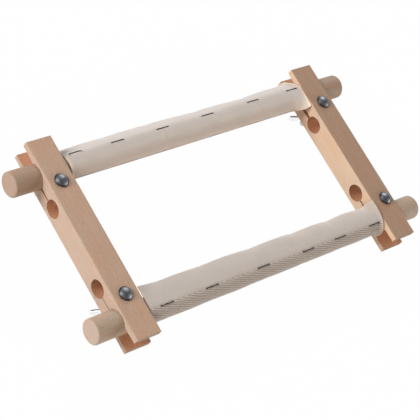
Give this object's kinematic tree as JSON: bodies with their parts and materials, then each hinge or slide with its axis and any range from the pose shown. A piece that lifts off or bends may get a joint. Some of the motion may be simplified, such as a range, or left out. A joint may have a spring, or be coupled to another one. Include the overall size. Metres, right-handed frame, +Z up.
{
  "type": "rotating embroidery frame",
  "caption": "Wooden rotating embroidery frame: square side arms with keyhole clamps grip tape-covered rollers that turn to wind cloth, each clamp closed by a bolt and wing nut.",
  "frame": {"origin": "under the middle of the frame, on the surface that the tips of its wing nuts stand on", "axes": "+X along the rollers to the right, +Y along the side arms to the back, +Z up, out of the stitching side"},
  "size_m": [0.4306, 0.217, 0.0518],
  "materials": {
    "beech_arm": "planed and sanded beech, bare",
    "beech_roller": "turned and sanded beech, bare",
    "cotton_tape": "unbleached herringbone cotton tape",
    "zinc_steel": "zinc-plated steel",
    "staple_steel": "galvanised staple wire"
  },
  "bodies": {
    "arm_left": {"arm_left": "beech_arm", "bolt_left_front": "zinc_steel", "bolt_left_back": "zinc_steel"},
    "arm_right": {"arm_right": "beech_arm", "bolt_right_front": "zinc_steel", "bolt_right_back": "zinc_steel"},
    "roller_front": {"roller_front": "beech_roller", "tape_front": "cotton_tape", "staple_front_1": "staple_steel", "staple_front_2": "staple_steel", "staple_front_3": "staple_steel", "staple_front_4": "staple_steel", "staple_front_5": "staple_steel", "staple_front_6": "staple_steel"},
    "roller_back": {"roller_back": "beech_roller", "tape_back": "cotton_tape", "staple_back_1": "staple_steel", "staple_back_2": "staple_steel", "staple_back_3": "staple_steel", "staple_back_4": "staple_steel", "staple_back_5": "staple_steel", "staple_back_6": "staple_steel"},
    "washer_left_front": {"washer_left_front": "zinc_steel"},
    "washer_left_back": {"washer_left_back": "zinc_steel"},
    "washer_right_front": {"washer_right_front": "zinc_steel"},
    "washer_right_back": {"washer_right_back": "zinc_steel"},
    "wing_nut_left_front": {"wing_nut_left_front": "zinc_steel"},
    "wing_nut_left_back": {"wing_nut_left_back": "zinc_steel"},
    "wing_nut_right_front": {"wing_nut_right_front": "zinc_steel"},
    "wing_nut_right_back": {"wing_nut_right_back": "zinc_steel"}
  },
  "joints": [
    {"name": "roller_front_turn", "type": "hinge", "parent": "arm_left", "child": "roller_front", "pos_m": [0, -0.07835, 0.0328], "axis": [1, 0, 0], "continuous": true},
    {"name": "roller_back_turn", "type": "hinge", "parent": "arm_left", "child": "roller_back", "pos_m": [0, 0.07835, 0.0328], "axis": [1, 0, 0], "continuous": true},
    {"name": "arm_right_slide", "type": "slide", "parent": "arm_left", "child": "arm_right", "axis": [1, 0, 0], "range_m": [-0.0007, 0.029]},
    {"name": "washer_left_front_drop", "type": "slide", "parent": "arm_left", "child": "washer_left_front", "axis": [0, 0, -1], "range_m": [0, 0.01]},
    {"name": "washer_left_back_drop", "type": "slide", "parent": "arm_left", "child": "washer_left_back", "axis": [0, 0, -1], "range_m": [0, 0.01]},
    {"name": "washer_right_front_drop", "type": "slide", "parent": "arm_right", "child": "washer_right_front", "axis": [0, 0, -1], "range_m": [0, 0.01]},
    {"name": "washer_right_back_drop", "type": "slide", "parent": "arm_right", "child": "washer_right_back", "axis": [0, 0, -1], "range_m": [0, 0.01]},
    {"name": "wing_nut_left_front_turn", "type": "hinge", "parent": "washer_left_front", "child": "wing_nut_left_front", "pos_m": [-0.1717, -0.06055, 0.016], "axis": [0, 0, -1], "range_deg": [0, 3600]},
    {"name": "wing_nut_left_back_turn", "type": "hinge", "parent": "washer_left_back", "child": "wing_nut_left_back", "pos_m": [-0.1718, 0.06195, 0.016], "axis": [0, 0, -1], "range_deg": [0, 3600]},
    {"name": "wing_nut_right_front_turn", "type": "hinge", "parent": "washer_right_front", "child": "wing_nut_right_front", "pos_m": [0.1747, -0.06195, 0.016], "axis": [0, 0, -1], "range_deg": [0, 3600]},
    {"name": "wing_nut_right_back_turn", "type": "hinge", "parent": "washer_right_back", "child": "wing_nut_right_back", "pos_m": [0.1721, 0.05935, 0.016], "axis": [0, 0, -1], "range_deg": [0, 3600]}
  ],
  "couplings": [
    {"joint": "washer_left_front_drop", "follows": "wing_nut_left_front_turn", "m_per_rad": 0.00015915},
    {"joint": "washer_left_back_drop", "follows": "wing_nut_left_back_turn", "m_per_rad": 0.00015915},
    {"joint": "washer_right_front_drop", "follows": "wing_nut_right_front_turn", "m_per_rad": 0.00015915},
    {"joint": "washer_right_back_drop", "follows": "wing_nut_right_back_turn", "m_per_rad": 0.00015915}
  ]
}
